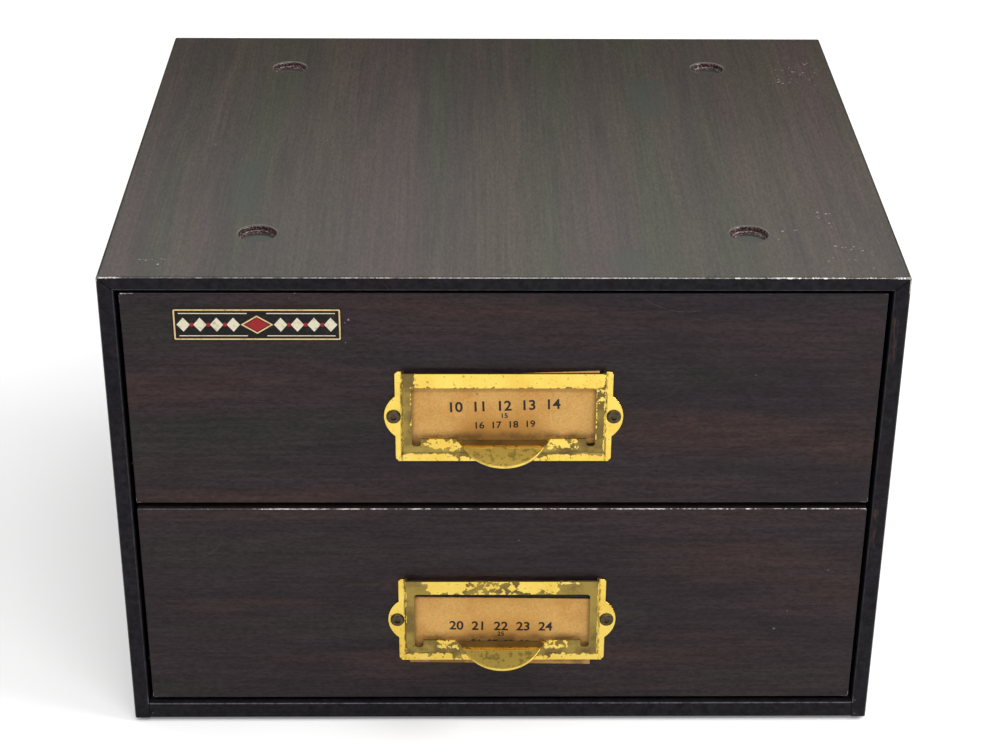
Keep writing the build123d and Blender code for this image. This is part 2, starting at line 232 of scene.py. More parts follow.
def buildSpecks():
    # scattered grains of dust or small chips, one to a cell at most
    inputs = [placeInput] + floats(Cells=200.0, Share=0.2, Radius=0.2, Seed=0.0)
    tree, (place, cells, share, radius, seed), out = newGroup("Specks", inputs)
    cell = put(tree, "TexVoronoi", {"Vector": place, "W": seed, "Scale": cells}, voronoi_dimensions="4D")
    red, green, blue = put(tree, "SeparateColor", {0: cell.outputs["Color"]}).outputs
    size = times(tree, radius, fade(tree, green, 0.0, 1.0, 0.3, 1.0))
    ragged = cloud(tree, place, times(tree, cells, 6.0))
    size = times(tree, size, fade(tree, ragged, 0.3, 0.7, 0.5, 1.5))
    near = fade(tree, minus(tree, size, cell.outputs["Distance"]), 0.0, 0.04)
    tree.links.new(times(tree, near, calc(tree, "LESS_THAN", red, share)), out)
    return tree


def buildHairlines():
    # fine broken scratches that lie every way
    inputs = [placeInput] + floats(Scale=40.0, Width=0.002, Share=0.3, Seed=0.0)
    tree, (place, scale, width, share, seed), out = newGroup("Hairlines", inputs)
    bent = put(tree, "TexNoise", {"Vector": place, "Scale": 25.0, "Detail": 1.0}).outputs["Color"]
    bent = vectorCalc(tree, "ADD", place, scaled(tree, bent, metres(18, 18, 18)))
    cell = put(tree, "TexVoronoi", {"Vector": bent, "Scale": scale}, feature="DISTANCE_TO_EDGE")
    line = fade(tree, cell.outputs["Distance"], width, 0.0)
    pick = cloud(tree, place, times(tree, scale, 1.3), 2.0, seed)
    pick = fade(tree, plus(tree, pick, share), 0.78, 0.86)
    tree.links.new(times(tree, line, pick), out)
    return tree


def buildArcScratch():
    # one curved scratch: part of a circle in the drawer's plane
    inputs = boxInputs + [("Centre", "Vector", (0, 0, 0))] + floats(Radius=10 * mm)
    tree, (place, low, high, centre, radius), out = newGroup("Arc Scratch", inputs)
    flat = scaled(tree, vectorCalc(tree, "SUBTRACT", place, centre), (1, 0, 1))
    gap = calc(tree, "ABSOLUTE", minus(tree, lengthOf(tree, flat), radius))
    line = fade(tree, gap, 0.16 * mm, 0.02 * mm)
    inside = useGroup(tree, softBox, place, Low=low, High=high, Softness=1.5 * mm)
    broken = fade(tree, cloud(tree, place, 700.0), 0.35, 0.6, 0.25, 1.0)
    tree.links.new(times(tree, line, inside, broken), out)
    return tree


woodPrint = buildWoodPrint()
softBox = buildSoftBox()
boxEdges = buildBoxEdges()
wornEdge = buildWornEdge()
specks = buildSpecks()
hairlines = buildHairlines()
arcScratch = buildArcScratch()
print("surface effects ready")


def newMaterial(name, values):
    material = bpy.data.materials.new(name)
    material.use_nodes = True
    tree = material.node_tree
    shader = tree.nodes["Principled BSDF"]
    feed(tree, shader, values)
    return material, tree, shader, put(tree, "TexCoord").outputs["Object"]


def anyOf(tree, masks):
    result = masks[0]
    for mask in masks[1:]:
        result = calc(tree, "MAXIMUM", result, mask)
    return result


def boxMask(tree, place, low, high, softness, share=1.0):
    # inside a box given in mm, at a share of its strength
    mask = useGroup(tree, softBox, place, Low=metres(*low), High=metres(*high), Softness=softness * mm)
    return mask if share == 1.0 else times(tree, mask, share)


def zonesMask(tree, place, zones):
    # the strongest of several boxes: (low corner, high corner, softness, share)
    return anyOf(tree, [boxMask(tree, place, *zone) for zone in zones])


def bump(tree, shader, parts):
    # parts are (height mask, depth in metres); several bumps are chained
    normal = None
    for height, depth in parts:
        feeds = {"Height": height, "Strength": 1.0, "Distance": depth}
        if normal is not None:
            feeds["Normal"] = normal
        normal = put(tree, "Bump", feeds).outputs[0]
    tree.links.new(normal, shader.inputs["Normal"])


def edgeDistance(tree, piece, place):
    low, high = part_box(piece)
    return useGroup(tree, boxEdges, place, Low=low, High=high)


def wear(tree, piece, place, look, seed, chipZones=()):
    # bare metal along the edges of a piece's box, and more of it in the chip zones
    amount = look["wearAmount"]
    if chipZones:
        amount = plus(tree, zonesMask(tree, place, chipZones), amount)
    return useGroup(tree, wornEdge, place, Distance=edgeDistance(tree, piece, place), Amount=amount,
                    Reach=look["wearReach"] * mm, Scale=look["wearScale"], Seed=seed)


steelColor = rgb(0.50, 0.49, 0.47)


def newPaint(name, look, seed):
    # a coated material and the colour of its wood grain
    material, tree, shader, place = newMaterial(name, {
        "Specular IOR Level": look["specular"], "Coat Roughness": look["coatRoughness"], "Coat IOR": 1.5})
    colors = {key.title(): look[key] for key in ("dark", "body", "red", "green")}
    grain = useGroup(tree, woodPrint, place, Stretch=look["stretch"], Streaks=look["streaks"],
                     Contrast=look["contrast"], Seed=seed, **colors)
    return material, tree, shader, place, grain


def flecked(tree, place, color, look, zones, seed):
    # small chips that show pale metal, in a few places
    flecks = useGroup(tree, specks, place, Seed=seed + 4.0, **look["flecks"])
    scale, start, end = look["fleckCloud"]
    sparse = fade(tree, cloud(tree, place, scale, 3.0, seed), start, end)
    return cover(tree, color, look["fleck"], times(tree, zonesMask(tree, place, zones), sparse), flecks)


def finishPaint(tree, shader, place, look, seed, color, worn, coat):
    # scratches, dust, bare metal, haze and orange peel, which every painted sheet has
    lines = useGroup(tree, hairlines, place, Scale=look["hairScale"], Width=0.003, Share=0.15, Seed=seed)
    dust = useGroup(tree, specks, place, Seed=seed, **look["dustGrains"])
    color = cover(tree, color, look["hair"], lines, 0.2)
    color = cover(tree, color, look["dust"], dust, look["dustStrength"])
    color = blend(tree, worn, color, steelColor)
    (hazeScale, smoother), (peelScale, peel), (waveScale, wave) = look["haze"], look["peel"], look["waves"]
    rough = fade(tree, cloud(tree, place, hazeScale, 3.0, seed), 0.3, 0.7,
                 look["roughness"] - smoother, look["roughness"] + 0.08)
    feed(tree, shader, {"Base Color": color, "Metallic": worn, "Roughness": rough, "Coat Weight": coat})
    bump(tree, shader, [(cloud(tree, place, peelScale, 2.0, seed), peel * mm),
                        (cloud(tree, place, waveScale, 1.0, seed), wave * mm),
                        (inverse(tree, worn), 0.05 * mm)])


caseLow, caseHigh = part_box("case_wrapper")
caseLook = {
    "dark": rgb(0.043, 0.034, 0.027), "body": rgb(0.058, 0.045, 0.032), "red": rgb(0.063, 0.041, 0.037),
    "green": rgb(0.045, 0.044, 0.026), "stretch": (1.0, 0.06, 1.0), "streaks": 62.0, "contrast": 0.36,
    "border": rgb(0.0068, 0.0066, 0.0118), "borderRed": rgb(0.016, 0.008, 0.009), "paintedBackShade": 0.84,
    "roughness": 0.40, "specular": 0.08, "coat": 0.9, "coatRoughness": 0.12,
    # scales of the haze, peel and waves, with how much smoother the haze leaves it, and depths in mm
    "haze": (30.0, 0.05), "peel": (500.0, 0.008), "waves": (14.0, 0.35),
    "hairScale": 26.0, "hair": rgb(0.16, 0.15, 0.14), "dust": rgb(0.30, 0.29, 0.27), "dustStrength": 0.55,
    "dustGrains": {"Cells": 170.0, "Share": 0.10, "Radius": 0.10},
    "wearReach": 0.65, "wearScale": 420.0, "wearAmount": 0.24,
    # (low corner, high corner, softness) in mm, and how much more the paint is chipped there
    "chipZones": [((80, -112, 180), (104, -110.2, 182), 12, 0.34),
                  ((104, -112, 180), (134, -110.2, 182), 4, 0.24),
                  ((129, -110, 180), (134, -100, 182), 3, 0.70),
                  ((130, -112, 177), (134, -108, 182), 3, 0.80),
                  ((-134, -112, 179), (-125, -109, 182), 3, 0.34)],
    # the thin light line on the folds round the opening: paint rubbed off there, and a painted highlight
    "rubbedAndLitOpeningLine": rgb(0.12, 0.12, 0.13), "lineAtFoot": 1.0, "lineAtHead": 0.55, "lineAtSides": 0.25,
    "lineOutside": 0.6,
    # a thin bright line on the front fold, from and to in x, and how unbroken it is
    "foldLine": [(-112, -60, 0.10), (-60, -22, 0.16), (-22, 64, 0.28), (64, 134, 0.13)],
    "rub": rgb(0.072, 0.036, 0.029),
    "rubZones": [((129.0, -112, 150), (129.9, -110.5, 166), 0.9),
                 ((129.0, -112, 76), (129.8, -110.5, 91), 0.9)],
    "fleck": rgb(0.36, 0.36, 0.35), "flecks": {"Cells": 700.0, "Share": 0.75, "Radius": 0.34},
    "fleckCloud": (320.0, 0.42, 0.54),
    "fleckZones": [((116, -104.5, 180), (126, -102, 182), 1.2), ((108, -97, 180), (120, -88, 182), 4),
                   ((108, -72, 180), (113, -60, 182), 3), ((85, -82, 180), (100, -76, 182), 2.5),
                   ((110, 62, 180), (124, 82, 182), 5), ((-120, -104, 180), (-112, -98, 182), 3),
                   ((126.8, -112, 2), (129.0, -110, 9), 0.8), ((-129, -112, 1), (-126, -110, 4), 0.8),
                   ((128.6, -112, 160), (129.8, -110, 165), 0.6)],
    # painted shade on the recess floor and wall, painted glints on the wall and a painted highlight on the
    # rim
    "recessFloorShade": rgb(0.030, 0.033, 0.027), "recessWallShade": rgb(0.030, 0.012, 0.013),
    "recessGlint": rgb(0.30, 0.22, 0.20), "recessRimHighlight": rgb(0.20, 0.19, 0.17),
    "teal": rgb(0.030, 0.040, 0.035),
    "tealZones": [((40, -104, 180), (44, -96, 182), 9), ((-92, -60, 180), (-90, -20, 182), 8),
                  ((56, 30, 180), (60, 60, 182), 9)],
    # half the front opening's width, its foot and its head, and how deep in the sheet the inside starts
    "opening": (127.9, 8.4, 176.0), "inset": 0.55,
}


def flatFrom(tree, place, dims, shift):
    # the level way from the nearest recess's centre, moved by shift in mm
    moved = vectorCalc(tree, "SUBTRACT", place, metres(*shift, 0))
    flat = vectorCalc(tree, "SUBTRACT", vectorCalc(tree, "ABSOLUTE", moved),
                      metres(dims["spacing_x_mm"] / 2, dims["spacing_y_mm"] / 2, 0))
    return scaled(tree, flat, (1, 1, 0))


def recessMasks(tree, place, top):
    # the floor, wall and rim of the four stacking recesses, from their mount's own sizes; painted shade goes
    # on the floor and wall, painted glints on the wall and a painted highlight on the rim
    dims = next(m for m in frame["record"]["mounts"] if m["name"] == "stacking_recesses")["dims"]
    distance = lengthOf(tree, flatFrom(tree, place, dims, (0, 0)))
    z = axes(tree, place)[2]
    radius = dims["hole_r_mm"] * mm
    within = fade(tree, distance, radius + 1.0 * mm, radius + 0.7 * mm)
    # the far wall slopes, so the floor's middle lies towards the front
    shifted = lengthOf(tree, flatFrom(tree, place, dims, (0.3, -0.8)))
    ragged = times(tree, cloud(tree, place, 700.0, 3.0), 0.8 * mm)
    floor = fade(tree, plus(tree, shifted, ragged), 5.7 * mm, 5.3 * mm)
    floor = times(tree, floor, fade(tree, z, top - 1.2 * mm, top - 1.9 * mm))
    wall = times(tree, within, fade(tree, z, top - 0.12 * mm, top - 0.5 * mm))
    rim = calc(tree, "ABSOLUTE", minus(tree, distance, radius + 0.55 * mm))
    rim = times(tree, fade(tree, rim, 0.3 * mm, 0.05 * mm), fade(tree, z, top - 0.5 * mm, top - 0.1 * mm))
    within = times(tree, within, fade(tree, z, top - 3.2 * mm, top - 2.4 * mm))
    return floor, minus(tree, wall, floor), rim, within


def insideBox(inset):
    # the room inside the case and a little of its sheet, in mm
    low, high = caseLow / mm, caseHigh / mm
    return (low.x + inset, low.y + inset, low.z + inset), (high.x - inset, high.y + 1, high.z - inset)


def openingBox(grown):
    halfWidth, foot, head = caseLook["opening"]
    return (-halfWidth - grown, -112, foot - grown), (halfWidth + grown, -100, head + grown)


def borderMask(tree, place, look, within):
    # the plain dark parts: the front edge, the folded lips, the inside and the underside
    y, z = axes(tree, place)[1:]
    edge = fade(tree, y, caseLow.y + 0.45 * mm, caseLow.y + 0.1 * mm)
    inside = boxMask(tree, place, *insideBox(look["inset"]), 0.25)
    lips = boxMask(tree, place, *openingBox(0.75), 0.25)
    underside = fade(tree, z, 2.3 * mm, 2.05 * mm)
    return times(tree, anyOf(tree, [edge, inside, lips, underside]), inverse(tree, within))


def borderTint(tree, place, look, seed, color):
    tint = blend(tree, 0.12, look["border"], color)
    tint = shaded(tree, tint, cloud(tree, place, 420.0, 6.0, seed + 2.0, 0.7), 0.3, 0.7, 0.45, 1.6)
    reddish = cloud(tree, place, 110.0, 4.0, seed + 3.0, 0.6)
    return blend(tree, fade(tree, reddish, 0.56, 0.70, 0.0, 0.5), tint, look["borderRed"])


def rubbedAndLitFolds(tree, place, look, seed):
    # thin light lines round the opening and up the case's outer edges: rubbed paint and a painted highlight
    # on the folds
    z = axes(tree, place)[2]
    shut = inverse(tree, boxMask(tree, place, *openingBox(0.12), 0.12))
    opening = times(tree, boxMask(tree, place, *openingBox(0.42), 0.15), shut)
    foot = fade(tree, z, 12 * mm, 9.5 * mm, 0.0, look["lineAtFoot"])
    head = fade(tree, z, 174.5 * mm, 175.8 * mm, look["lineAtSides"], look["lineAtHead"])
    opening = times(tree, opening, calc(tree, "MAXIMUM", foot, head))
    outer = fade(tree, edgeDistance(tree, "case_wrapper", place), 0.34 * mm, 0.18 * mm)
    outer = times(tree, outer, fade(tree, z, 176 * mm, 172 * mm), look["lineOutside"])
    broken = fade(tree, cloud(tree, place, 600.0, 4.0, seed, 0.6), 0.36, 0.6, 0.3, 1.0)
    return times(tree, calc(tree, "MAXIMUM", opening, outer), broken)


def topFoldLine(tree, place, look, seed):
    # the broken bright line on the fold between the top and the front
    y, z = axes(tree, place)[1:]
    line = calc(tree, "ABSOLUTE", minus(tree, z, caseHigh.z - 0.36 * mm))
    line = times(tree, fade(tree, line, 0.20 * mm, 0.06 * mm),
                 fade(tree, y, caseLow.y + 0.7 * mm, caseLow.y + 0.5 * mm))
    stretches = [((left, -115, 170), (right, -105, 190), 4, share) for left, right, share in look["foldLine"]]
    kept = plus(tree, zonesMask(tree, place, stretches), cloud(tree, place, 420.0, 5.0, seed, 0.7))
    grit = cloud(tree, place, 1700.0, 3.0, seed, 0.6)
    return times(tree, line, fade(tree, kept, 0.50, 0.76, 0.10, 1.0), fade(tree, grit, 0.36, 0.54, 0.2, 1.0))


def makeCasePaint(name, look, seed, bordered=True):
    material, tree, shader, place, color = newPaint(name, look, seed)
    # painted shade: the colour darkens towards the back of the case
    color = shaded(tree, color, axes(tree, place)[1], -40 * mm, 111 * mm, 1.0, look["paintedBackShade"])
    worn = wear(tree, "case_wrapper", place, look, seed, look["chipZones"])
    coat = look["coat"]
    if bordered:
        floor, wall, rim, within = recessMasks(tree, place, caseHigh.z)
        border = borderMask(tree, place, look, within)
        color = blend(tree, border, color, borderTint(tree, place, look, seed, color))
        # rubbed paint and a painted highlight on the folds
        color = blend(tree, rubbedAndLitFolds(tree, place, look, seed), color, look["rubbedAndLitOpeningLine"])
        # painted shade on the recess floor and wall, painted glints on the wall and a painted highlight on
        # the rim
        color = blend(tree, floor, color, look["recessFloorShade"])
        glints = fade(tree, cloud(tree, place, 1500.0, 4.0, 0.0, 0.7), 0.50, 0.62)
        color = blend(tree, wall, color, blend(tree, glints, look["recessWallShade"], look["recessGlint"]))
        color = cover(tree, color, look["recessRimHighlight"], rim, 0.5)
        color = cover(tree, color, look["teal"], zonesMask(tree, place, look["tealZones"]), 0.5)
        color = flecked(tree, place, color, look, look["fleckZones"], seed)
        drawn = cloud(tree, scaled(tree, place, (1, 1, 0.16)), 1500.0, 4.0, seed, 0.6)
        rub = times(tree, zonesMask(tree, place, look["rubZones"]), fade(tree, drawn, 0.44, 0.60))
        color = cover(tree, color, look["rub"], rub, 0.75)
        worn = calc(tree, "MAXIMUM", worn, times(tree, topFoldLine(tree, place, look, seed), 0.6))
        coat = times(tree, fade(tree, border, 0.0, 1.0, coat, 0.0), inverse(tree, worn))
    finishPaint(tree, shader, place, look, seed, color, worn, coat)
    return material


drawerLook = {
    "dark": rgb(0.0200, 0.0138, 0.0170), "body": rgb(0.0285, 0.0180, 0.0205),
    "red": rgb(0.038, 0.0205, 0.0185), "green": rgb(0.0235, 0.0200, 0.0185),
    "stretch": (0.12, 1.0, 1.0), "streaks": 70.0, "contrast": 0.42,
    "roughness": 0.40, "specular": 0.12, "coat": 0.12, "coatRoughness": 0.22,
    "haze": (40.0, 0.06), "peel": (520.0, 0.018), "waves": (16.0, 0.4),
    "hairScale": 22.0, "hair": rgb(0.10, 0.09, 0.09), "dust": rgb(0.20, 0.19, 0.19), "dustStrength": 0.5,
    "dustGrains": {"Cells": 190.0, "Share": 0.09, "Radius": 0.09}, "scratch": rgb(0.11, 0.10, 0.10),
    "wearReach": 0.42, "wearScale": 480.0, "wearAmount": 0.20,
    # (x from, x to, z from, z to, softness) in mm, and how much more the paint is chipped there
    "chipZones": {"upper": [(-127, -125.6, 93, 95, 1.5, 0.8), (124.6, 127, 93, 95, 2, 0.9),
                            (60, 127, 93, 94.4, 0.4, 0.16), (-127, -122, 172, 175, 2, 0.34),
                            (125.6, 127, 173.6, 175, 1.0, 0.35)],
                  "lower": [(-85, 127, 90.8, 92, 5, 0.34), (-127, -85, 90.8, 92, 4, 0.12),
                            (-127, -125.5, 10, 12, 1.5, 0.7), (124.5, 127, 10, 12, 1.5, 0.85)]},
    # thin light lines on the folds, rubbed paint and a painted highlight, in the same order, and their
    # strength
    "rubbedAndLitEdgeLine": rgb(0.15, 0.145, 0.15),
    "rubbedAndLitEdgeZones": {"upper": [(-127, 127, 93, 94.2, 0.4, 0.35), (40, 127, 93, 94.2, 4, 0.6),
                            (125.9, 127, 93, 175, 0.3, 0.3), (-127, -60, 174, 175, 0.3, 0.22),
                            (-127, -126, 165, 175, 0.4, 0.4)],
                  "lower": [(-127, 127, 90.6, 92, 0.4, 0.75), (-127, 127, 10, 11, 0.3, 0.5),
                            (125.9, 127, 10, 91, 0.3, 0.35)]},
    "fleck": rgb(0.30, 0.30, 0.30), "flecks": {"Cells": 620.0, "Share": 0.4, "Radius": 0.28},
    "fleckCloud": (260.0, 0.52, 0.62),
    "fleckZones": {"upper": [(110, 115, 99, 103, 3), (-54, -51, 157, 167, 1.5),
                             (-110, -52, 155.2, 155.8, 0.7), (-80, -58, 170.2, 171, 0.8),
                             (-72, -66, 173, 175, 1), (8, 14, 168, 173, 2)],
                   "lower": [(109, 115, 58, 69, 3), (98, 105, 34, 56, 2.5), (111, 116, 30, 40, 3)]},
    # scratches: (x and z of the centre, radius, x from, x to, z from, z to) of the stretch that shows
    "arcs": {"upper": [(60, 190, 22, 46, 64, 166, 172)],
             "lower": [(-110, 84, 13.6, -112, -98, 68, 76), (-96, 88, 15.2, -112, -104, 70, 74)]},
}


def frontZones(zones):
    # boxes on the drawer fronts from (x from, x to, z from, z to, ...) in mm
    return [((left, -111, foot), (right, -109, head), *rest) for left, right, foot, head, *rest in zones]


def makeDrawerPaint(level, look, seed):
    piece = f"{level}_drawer_front"
    material, tree, shader, place, color = newPaint(f"{level} drawer paint", look, seed)
    worn = wear(tree, piece, place, look, seed, frontZones(look["chipZones"][level]))
    color = flecked(tree, place, color, look, frontZones(look["fleckZones"][level]), seed)
    # thin light lines on the folds: rubbed paint and a painted highlight
    fold = fade(tree, edgeDistance(tree, piece, place), 0.34 * mm, 0.20 * mm)
    broken = fade(tree, cloud(tree, place, 900.0, 4.0, seed, 0.6), 0.36, 0.6, 0.2, 1.0)
    fold = times(tree, fold, zonesMask(tree, place, frontZones(look["rubbedAndLitEdgeZones"][level])), broken)
    color = blend(tree, fold, color, look["rubbedAndLitEdgeLine"])
    for x, z, radius, *stretch in look["arcs"][level]:
        low, high = frontZones([stretch])[0]
        arc = useGroup(tree, arcScratch, place, Centre=metres(x, 0, z), Radius=radius * mm,
                       Low=metres(*low), High=metres(*high))
        color = cover(tree, color, look["scratch"], arc, 0.45)
    finishPaint(tree, shader, place, look, seed, color, worn, fade(tree, worn, 0.0, 1.0, look["coat"], 0.0))
    return material


enamelLook = {"color": rgb(0.020, 0.016, 0.015), "scuff": rgb(0.07, 0.06, 0.055), "roughness": 0.45,
              "wearReach": 0.8, "wearScale": 220.0, "wearAmount": 0.45}


def makeEnamel(name, piece, look, seed):
    material, tree, shader, place = newMaterial(name, {"Specular IOR Level": 0.4})
    cloudy = fade(tree, cloud(tree, place, 150.0, 5.0, seed, 0.6), 0.35, 0.7)
    color = cover(tree, look["color"], look["scuff"], cloudy, 0.16)
    lines = useGroup(tree, hairlines, place, Scale=45.0, Width=0.004, Share=0.35, Seed=seed)
    color = cover(tree, color, look["scuff"], lines, 0.4)
    worn = wear(tree, piece, place, look, seed)
    color = blend(tree, worn, color, steelColor)
    rough = fade(tree, cloudy, 0.0, 1.0, look["roughness"] - 0.1, look["roughness"] + 0.1)
    feed(tree, shader, {"Base Color": color, "Metallic": worn, "Roughness": rough})
    bump(tree, shader, [(cloud(tree, place, 600.0, 2.0, seed), 0.02 * mm),
                        (cloud(tree, place, 18.0), 0.4 * mm)])
    return material


runnerLook = {"steel": rgb(0.36, 0.355, 0.34), "oil": rgb(0.12, 0.105, 0.085), "roughness": 0.36}


def makeRunnerSteel(look):
    material, tree, shader, place = newMaterial("runner steel", {})
    rolled = cloud(tree, scaled(tree, place, (1, 0.02, 1)), 1500.0, 3.0)
    oily = fade(tree, cloud(tree, place, 60.0, 4.0), 0.45, 0.65)
    color = blend(tree, oily, look["steel"], look["oil"])
    color = blend(tree, fade(tree, rolled, 0.3, 0.7, 0.0, 0.35), color, look["oil"])
    rough = fade(tree, rolled, 0.3, 0.7, look["roughness"] - 0.08, look["roughness"] + 0.12)
    feed(tree, shader, {"Base Color": color, "Metallic": fade(tree, oily, 0.0, 1.0, 1.0, 0.55),
                        "Roughness": rough})
    bump(tree, shader, [(rolled, 0.01 * mm)])
    return material


def dress(piece, material):
    slots = nodes[piece].data.materials
    slots.clear()
    slots.append(material)


dress("case_wrapper", makeCasePaint("case paint", caseLook, 3.0))
dress("bottom_pan", nodes["case_wrapper"].data.materials[0])
backLook = dict(caseLook, stretch=(0.1, 1.0, 1.0))
dress("back_panel", makeCasePaint("back paint", backLook, 8.0, bordered=False))
dress("stacking_feet", makeEnamel("foot enamel", "stacking_feet", enamelLook, 2.0))
runnerSteel = makeRunnerSteel(runnerLook)
for seed, level in enumerate(levels):
    dress(f"{level}_drawer_front", makeDrawerPaint(level, drawerLook, 5.0 + 7.0 * seed))
    tray = f"{level}_drawer_tray"
    dress(tray, makeEnamel(f"{level} tray enamel", tray, enamelLook, seed))
    for side in ("left", "right"):
        divider = f"{level}_{side}_divider"
        dress(divider, makeEnamel(f"{divider} enamel", divider, enamelLook, 4.0 + seed))
        dress(f"{level}_{side}_runner", runnerSteel)
print("case and drawers painted")


pullLook = {
    "bright": rgb(0.97, 0.72, 0.15), "olive": rgb(0.185, 0.122, 0.036), "stain": rgb(0.070, 0.044, 0.015),
    "lip": rgb(0.58, 0.46, 0.115), "blotch": rgb(0.22, 0.19, 0.055), "rootReflection": rgb(0.25, 0.19, 0.065),
    "deep": rgb(0.86, 0.56, 0.09), "ragged": 1.1, "patchScale": 460.0, "brightRoughness": 0.27,
    "oliveRoughness": 0.42, "crease": 7.4, "creaseHighlightWidth": 1.1, "rimHighlightCentre": (0, -1.12, 0), "rimHighlightRadius": 14.6,
    # low and high corners of the folds that hold brown grime and painted shade
    "groovesGrimeAndShade": [((-34.8, -1.4, -17), (-34.3, 0, 17.2)), ((34.3, -1.4, -17), (34.8, 0, 17.2)),
                ((-34.5, -1.8, -14.0), (34.5, 0, -13.6))],
}
# where the bright lacquer is left: (low corner, high corner, softness, share), in mm from the holder's centre
pullZones = {
    "upper": [((-42, -1.3, -18), (-34.8, 1, 18), 0.5, 1.1), ((34.8, -1.3, -18), (42, 1, 18), 0.5, 1.1),
              ((-38, -1.6, -18), (-16, 1, -15.5), 2.4, 0.84), ((-16, -1.6, -18), (16, 1, -16.5), 2.4, 0.66),
              ((16, -1.6, -18), (38, 1, -15.5), 2.4, 0.84),
              ((-28, -3, 13.8), (32, -1, 16.6), 4.0, 1.1), ((20, -3, 12.6), (33, -1, 16.6), 2.0, 0.75),
              ((-24, -3, -10.2), (-16, -1, -9.4), 4.5, 0.68), ((16, -3, -10.2), (23, -1, -9.4), 4.5, 0.66),
              ((-34.8, -2.2, -14), (-34.0, 0, 17), 0.5, 0.46), ((33.9, -2.2, -14), (34.8, 0, 17), 0.5, 0.60),
              ((-31.4, -3, -8), (-30.6, -1, 12), 0.4, 0.36), ((30.5, -3, -8), (31.4, -1, 12), 0.4, 0.56),
              ((31.8, -3, 5), (33.0, -1, 12), 2.0, 0.52)],
    "lower": [((-42, -1.3, -18), (-34.8, 1, 18), 0.5, 1.1), ((34.8, -1.3, -18), (42, 1, 18), 0.5, 1.02),
              ((-36, -1.6, -18), (-19, 1, -15.8), 3.0, 0.80), ((-16, -1.6, -18), (18, 1, -16.0), 2.4, 0.62),
              ((18, -1.6, -18), (38, 1, -15.8), 3.0, 0.74),
              ((-24, -3, 14.0), (-15, -1, 16.4), 4.5, 1.0), ((-14, -3, 11.4), (6, -1, 12.2), 1.6, 0.58),
              ((-14, -3, 11), (6, -1, 18), 1.0, 0.45),
              ((7, -3, 14.4), (18, -1, 17.6), 4.5, 0.84), ((-28, -3, 16.6), (27, -1, 18), 1.2, 0.56),
              ((-22, -3, -10.0), (-17, -1, -9.0), 4.0, 0.60), ((16, -3, -10.0), (22, -1, -9.0), 4.0, 0.60),
              ((-34.8, -2.2, -14), (-34.0, 0, 17), 0.5, 0.44), ((33.9, -2.2, -14), (34.8, 0, 17), 0.5, 0.60)],
}
holderBottomBelowCentre = 17.2


def holderCentre(level):
    low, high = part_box(f"{level}_pull")
    return Vector((0.0, high.y, low.z + holderBottomBelowCentre * mm))


